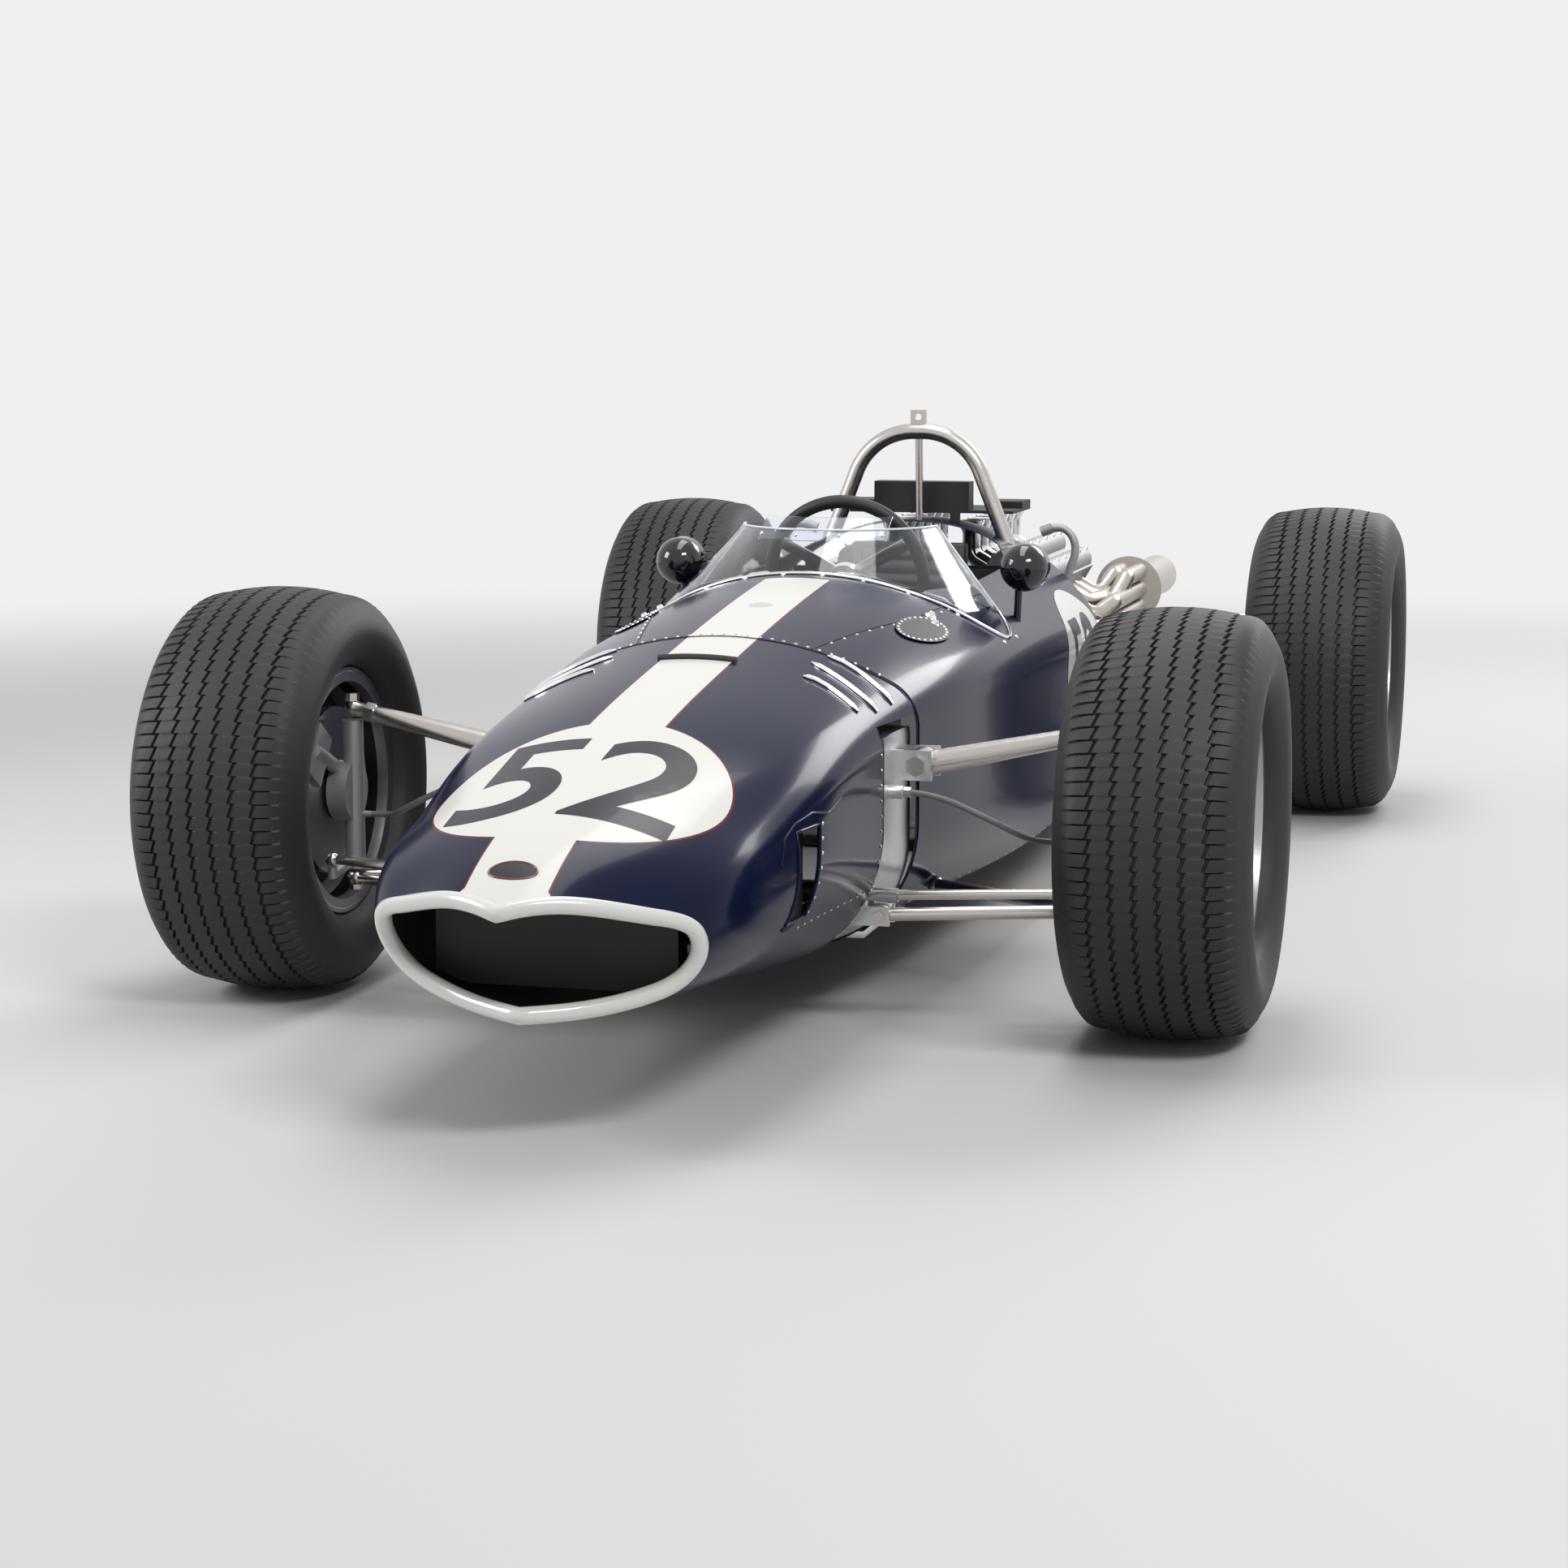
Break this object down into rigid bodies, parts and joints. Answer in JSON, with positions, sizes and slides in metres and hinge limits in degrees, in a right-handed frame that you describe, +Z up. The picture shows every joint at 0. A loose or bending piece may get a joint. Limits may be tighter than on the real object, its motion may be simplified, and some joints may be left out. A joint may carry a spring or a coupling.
{
  "type": "open wheel racing car",
  "caption": "Single seat open wheel racing car with a beaked nose, a tub, a mid engine, steered front wheels and free turning wheels.",
  "frame": {"origin": "on the ground under the middle of the overall length, on the centre plane", "axes": "+Y from the nose back to the tail, +Z up, +X to the driver's left"},
  "size_m": [1.827, 4.2596, 0.9339],
  "materials": {
    "paint": "very dark navy, high gloss",
    "screen": "clear sheet",
    "bare_sheet": "bare sheet",
    "black_core": "matt black",
    "nickel": "satin nickel plate",
    "black_trim": "matt black",
    "upholstery": "black",
    "mirror_shell": "gloss",
    "casting": "sand cast",
    "bright_alloy": "polished",
    "steel": "machined",
    "leather_rim": "stitched",
    "tread": "plain black",
    "rim_alloy": "cast with a polished lip",
    "pipes": "heat tinted",
    "hose": "matt grey"
  },
  "bodies": {
    "chassis": {"nose_cowl": "paint", "monocoque_tub": "paint", "scuttle_cowl": "paint", "windscreen": "screen", "screen_visor": "screen", "front_frame": "bare_sheet", "radiator": "black_core", "front_rockers": "nickel", "front_lower_arms": "nickel", "dash_panel": "black_trim", "seat": "upholstery", "mirrors": "mirror_shell", "roll_hoop": "nickel", "ignition_tray": "black_trim", "engine_block": "casting", "cylinder_heads": "casting", "intake_trumpets": "bright_alloy", "gearbox": "casting", "driveshafts": "steel", "rear_top_links": "nickel", "rear_lower_arms": "nickel", "radius_rods": "nickel", "spring_units": "steel", "rear_upright_left": "casting", "rear_upright_right": "casting", "exhaust_left": "pipes", "exhaust_right": "pipes", "brake_hose_left": "hose", "brake_hose_right": "hose"},
    "rack": {"steering_rack": "steel", "track_rods": "nickel"},
    "steering_wheel": {"steering_wheel": "leather_rim"},
    "knuckle_left": {"front_upright_left": "casting"},
    "knuckle_right": {"front_upright_right": "casting"},
    "wheel_front_left": {"front_tyre_left": "tread", "front_rim_left": "rim_alloy", "front_disc_left": "steel"},
    "wheel_front_right": {"front_tyre_right": "tread", "front_rim_right": "rim_alloy", "front_disc_right": "steel"},
    "wheel_rear_left": {"rear_tyre_left": "tread", "rear_rim_left": "rim_alloy", "rear_disc_left": "steel"},
    "wheel_rear_right": {"rear_tyre_right": "tread", "rear_rim_right": "rim_alloy", "rear_disc_right": "steel"}
  },
  "joints": [
    {"name": "steer_left", "type": "hinge", "parent": "chassis", "child": "knuckle_left", "pos_m": [0.628, -1.08, 0.335], "axis": [0, 0, 1], "range_deg": [-20, 20]},
    {"name": "steer_right", "type": "hinge", "parent": "chassis", "child": "knuckle_right", "pos_m": [-0.628, -1.08, 0.335], "axis": [0, 0, 1], "range_deg": [-20, 20]},
    {"name": "rack_slide", "type": "slide", "parent": "chassis", "child": "rack", "axis": [1, 0, 0], "range_m": [-0.036, 0.036]},
    {"name": "steering_wheel_turn", "type": "hinge", "parent": "chassis", "child": "steering_wheel", "pos_m": [0, -0.175, 0.64], "axis": [0, 0.9703, 0.2419], "range_deg": [-240, 240]},
    {"name": "wheel_front_left_spin", "type": "hinge", "parent": "knuckle_left", "child": "wheel_front_left", "pos_m": [0.754, -1.08, 0.339], "axis": [1, 0, 0], "continuous": true},
    {"name": "wheel_front_right_spin", "type": "hinge", "parent": "knuckle_right", "child": "wheel_front_right", "pos_m": [-0.754, -1.08, 0.339], "axis": [1, 0, 0], "continuous": true},
    {"name": "wheel_rear_left_spin", "type": "hinge", "parent": "chassis", "child": "wheel_rear_left", "pos_m": [0.754, 1.371, 0.346], "axis": [1, 0, 0], "continuous": true},
    {"name": "wheel_rear_right_spin", "type": "hinge", "parent": "chassis", "child": "wheel_rear_right", "pos_m": [-0.754, 1.371, 0.346], "axis": [1, 0, 0], "continuous": true}
  ],
  "couplings": [
    {"joint": "steer_right", "follows": "steer_left", "ratio": 1},
    {"joint": "rack_slide", "follows": "steer_left", "m_per_rad": 0.1},
    {"joint": "steering_wheel_turn", "follows": "steer_left", "ratio": 12}
  ]
}
